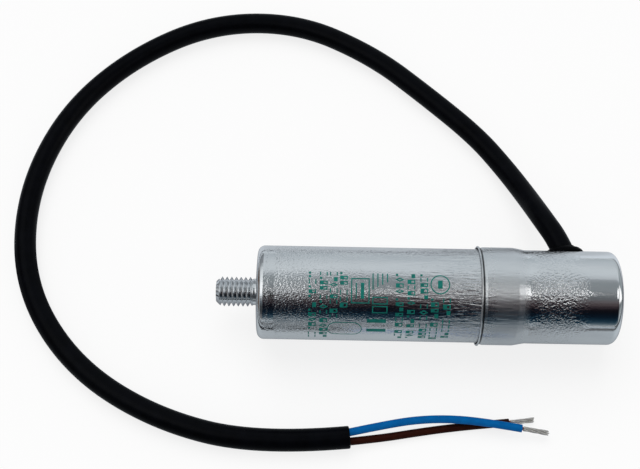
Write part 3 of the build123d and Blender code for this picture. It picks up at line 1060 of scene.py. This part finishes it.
# The screen straight out past the base, by distance from the can's axis
baseScreenStops = [
    (0, 0.42, 0.46, 0.48), (0.10, 0.42, 0.46, 0.48), (0.14, 0.12, 0.085, 0.07),
    (0.30, 0.12, 0.085, 0.07), (0.40, 0.30, 0.31, 0.32), (0.51, 0.5, 0.52, 0.53),
]
# And for what lies out past the cap, which only the cap's rounded end reflects
capEndStops = [
    (-92, 0.50, 0.54, 0.56), (-62, 0.30, 0.33, 0.35), (-48, 0.16, 0.18, 0.19),
    (-38, 0.20, 0.22, 0.23), (-30, 1.2, 1.2, 1.2), (14, 1.2, 1.2, 1.2),
    (22, 0.24, 0.27, 0.29), (38, 0.30, 0.34, 0.36), (92, 0.42, 0.46, 0.48),
]
# Floor as the metal reflects it, by distance from the can's axis, with painted shadow in the dark band along
# the can
floorStops = [
    (-0.40, 0.30, 0.34, 0.37), (-0.135, 0.33, 0.37, 0.40), (-0.12, 0.08, 0.085, 0.09),
    (-0.075, 0.10, 0.105, 0.11), (-0.065, 0.37, 0.41, 0.44), (-0.02, 0.42, 0.46, 0.49),
    (0, 0.20, 0.21, 0.23), (0.014, 0.16, 0.17, 0.19), (0.026, 0.52, 0.56, 0.60),
    (0.4, 0.60, 0.67, 0.72),
]
# Shade on that floor along the can, from pairs of millimetres and share
floorShadeStops = [
    (-300, 0.5), (-110, 1.1), (-46, 1.1), (-42, 1), (0, 1), (14, 0.85), (34, 0.85), (56, 1), (68, 1.3),
    (108, 1.3), (118, 0.4), (600, 0.4),
]
# Cards that only the metal shows: from and to along X, from and to along Y, height, brightness
reflectCards = {
    "canLamp": (-0.050, 0.012, -0.138, -0.108, 0.47, 1.2),
    "middleLamp": (0.012, 0.045, -0.145, -0.105, 0.47, 0.9),
    "lineLamp": (0.045, 0.083, -0.155, -0.085, 0.47, 0.9),
    "sleeveLamp": (0.083, 0.112, -0.105, 0.19, 0.46, 0.8),
    "sleeveShade": (0.083, 0.112, -0.27, -0.105, 0.46, 0.27),
    "capLamp": (0.106, 0.130, -0.112, -0.060, 0.47, 3.6),
    "stepLamp": (0.245, 0.34, -0.165, 0.04, 0.45, 1.5),
    "dotLamp": (0.205, 0.243, -0.145, -0.01, 0.46, 1.3),
    "darkCard": (-0.09, -0.046, -0.40, -0.120, 0.40, 0.015),
}


def onlyReflected(piece):
    piece.visible_camera = False
    piece.visible_diffuse = False
    piece.visible_transmission = False
    piece.visible_volume_scatter = False
    piece.visible_shadow = False


def addSheet(name, xLow, xHigh, yLow, yHigh, z, material):
    corners = [(xLow, yLow, z), (xHigh, yLow, z), (xHigh, yHigh, z), (xLow, yHigh, z)]
    mesh = bpy.data.meshes.new(name)
    mesh.from_pydata(corners, [], [(0, 1, 2, 3)])
    mesh.materials.append(material)
    return linkObject(name, mesh)


def screenPlaces(tree):
    # X, angle round the can in degrees and distance from its axis, at each point of a screen
    parts = addNode(tree, "ShaderNodeSeparateXYZ", Vector=objectPlace(tree)).outputs
    height = addMath(tree, "SUBTRACT", parts["Z"], axisZ)
    degrees = addMath(tree, "DEGREES", addMath(tree, "ARCTAN2", parts["Y"], height))
    across = addNode(tree, "ShaderNodeCombineXYZ", Y=parts["Y"], Z=height).outputs["Vector"]
    distance = addMath(tree, "LENGTH", across, kind="ShaderNodeVectorMath")
    return {"x": parts["X"], "degrees": degrees, "distance": distance}


def archMaterial():
    material, tree, glow = newMaterial("surroundGlow", "ShaderNodeEmission")
    places = screenPlaces(tree)
    colour = rampOf(tree, places["degrees"], surroundStops)
    for end, stops in (("baseEnd", baseEndStops), ("capEnd", capEndStops)):
        start, stop = surroundShape[end]
        past = addNode(tree, "ShaderNodeMapRange", Value=places["x"], From_Min=start, From_Max=stop)
        colour = addMix(tree, past.outputs["Result"], colour, rampOf(tree, places["degrees"], stops))
    feed(tree, colour, glow.inputs["Color"])
    return material


def endMaterial(name, measure, stops):
    material, tree, glow = newMaterial(name, "ShaderNodeEmission")
    feed(tree, rampOf(tree, screenPlaces(tree)[measure], stops), glow.inputs["Color"])
    return material


def makeSurround():
    # Arched screen over the can with two closed ends, which only reflections show
    shape = surroundShape
    bm = bmesh.new()
    rows = []
    for step in range(shape["steps"] + 1):
        angle = math.radians(shape["first"] + (shape["last"] - shape["first"]) * step / shape["steps"])
        y = math.sin(angle) * shape["radius"]
        z = axisZ + math.cos(angle) * shape["radius"]
        rows.append([bm.verts.new((x, y, z)) for x in shape["ends"]])
    middles = [bm.verts.new((x, 0, axisZ)) for x in shape["ends"]]
    for low, high in zip(rows, rows[1:]):
        bm.faces.new([low[0], low[1], high[1], high[0]])
        for end in range(2):
            face = bm.faces.new([middles[end], low[end], high[end]])
            face.material_index = 1 + end
    mesh = bpy.data.meshes.new("surround")
    bm.to_mesh(mesh)
    bm.free()
    mesh.materials.append(archMaterial())
    mesh.materials.append(endMaterial("baseScreenGlow", "distance", baseScreenStops))
    mesh.materials.append(endMaterial("capScreenGlow", "degrees", capEndStops))
    onlyReflected(linkObject("surround", mesh))


def makeFloorGlow():
    # Thin sheet on the floor that gives reflections the floor's brightness near the can, with painted shadow
    # beside the can
    half = floorShape["glowHalfLength"]
    reach = floorStops[-1][0]
    material, tree, glow = newMaterial("floorGlow", "ShaderNodeEmission")
    parts = addNode(tree, "ShaderNodeSeparateXYZ", Vector=objectPlace(tree))
    colour = rampOf(tree, parts.outputs["Y"], floorStops)
    fill(tree, glow, {"Color": colour, "Strength": alongCan(tree, floorShadeStops)})
    onlyReflected(addSheet("floorGlow", -half, half, -reach, reach, 0, material))


def makeCard(name, *place, brightness):
    material, tree, glow = newMaterial(name + "Glow", "ShaderNodeEmission")
    glow.inputs["Strength"].default_value = brightness
    onlyReflected(addSheet(name, *place, material))


def seenPlainly(tree):
    # 1 where the camera, a reflection or a view through glass looks, 0 for light on its way
    path = tree.nodes.new("ShaderNodeLightPath").outputs
    seen = path["Is Camera Ray"]
    for name in ("Is Glossy Ray", "Is Transmission Ray"):
        seen = addMath(tree, "MAXIMUM", seen, path[name])
    return seen


def showMixed(tree, share, first, second, output):
    mix = addNode(tree, "ShaderNodeMixShader", Fac=share)
    feed(tree, first.outputs[0], mix.inputs[1])
    feed(tree, second.outputs[0], mix.inputs[2])
    feed(tree, mix.outputs["Shader"], output.inputs["Surface"])


def makeFloor():
    # Looked at, the floor is part plain white, so that it is nearly white and still keeps a soft shadow
    reach = floorShape["reach"]
    material, tree, shader = newMaterial("whiteFloor")
    shader.inputs["Base Color"].default_value = (*floorShape["color"], 1)
    shader.inputs["Roughness"].default_value = 1.0
    shader.inputs["Specular IOR Level"].default_value = 0.0
    glow = addNode(tree, "ShaderNodeEmission", Color=(1, 1, 1, 1), Strength=1.0)
    share = addMath(tree, "MULTIPLY", seenPlainly(tree), floorShape["whiteShare"])
    showMixed(tree, share, shader, glow, tree.nodes["Material Output"])
    addSheet("floor", -reach, reach, -reach, reach, -floorShape["drop"], material)


def makeLight():
    data = bpy.data.lights.new("softSun", "SUN")
    data.energy = lightLevels["sun"]
    data.angle = math.radians(lightLevels["sunSize"])
    lamp = linkObject("softSun", data)
    tiltX, tiltY = lightLevels["sunTilt"]
    lamp.rotation_euler = (math.radians(tiltX), math.radians(tiltY), 0)
    lamp.visible_glossy = False


def makeWorld():
    # White wherever the camera or a reflection looks past the object, and a plain level for the rest
    world = bpy.data.worlds.new("paleRoom")
    world.use_nodes = True
    bpy.context.scene.world = world
    tree = world.node_tree
    tree.nodes.clear()
    ambient = addNode(tree, "ShaderNodeBackground", Color=(1, 1, 1, 1), Strength=lightLevels["ambient"])
    white = addNode(tree, "ShaderNodeBackground", Color=(1, 1, 1, 1), Strength=1.0)
    showMixed(tree, seenPlainly(tree), ambient, white, tree.nodes.new("ShaderNodeOutputWorld"))


makeSurround()
makeFloorGlow()
for name, (*place, brightness) in reflectCards.items():
    makeCard(name, *place, brightness=brightness)
makeFloor()
makeLight()
makeWorld()
bpy.context.scene.view_settings.view_transform = "Standard"
print("floor, surround and light set")
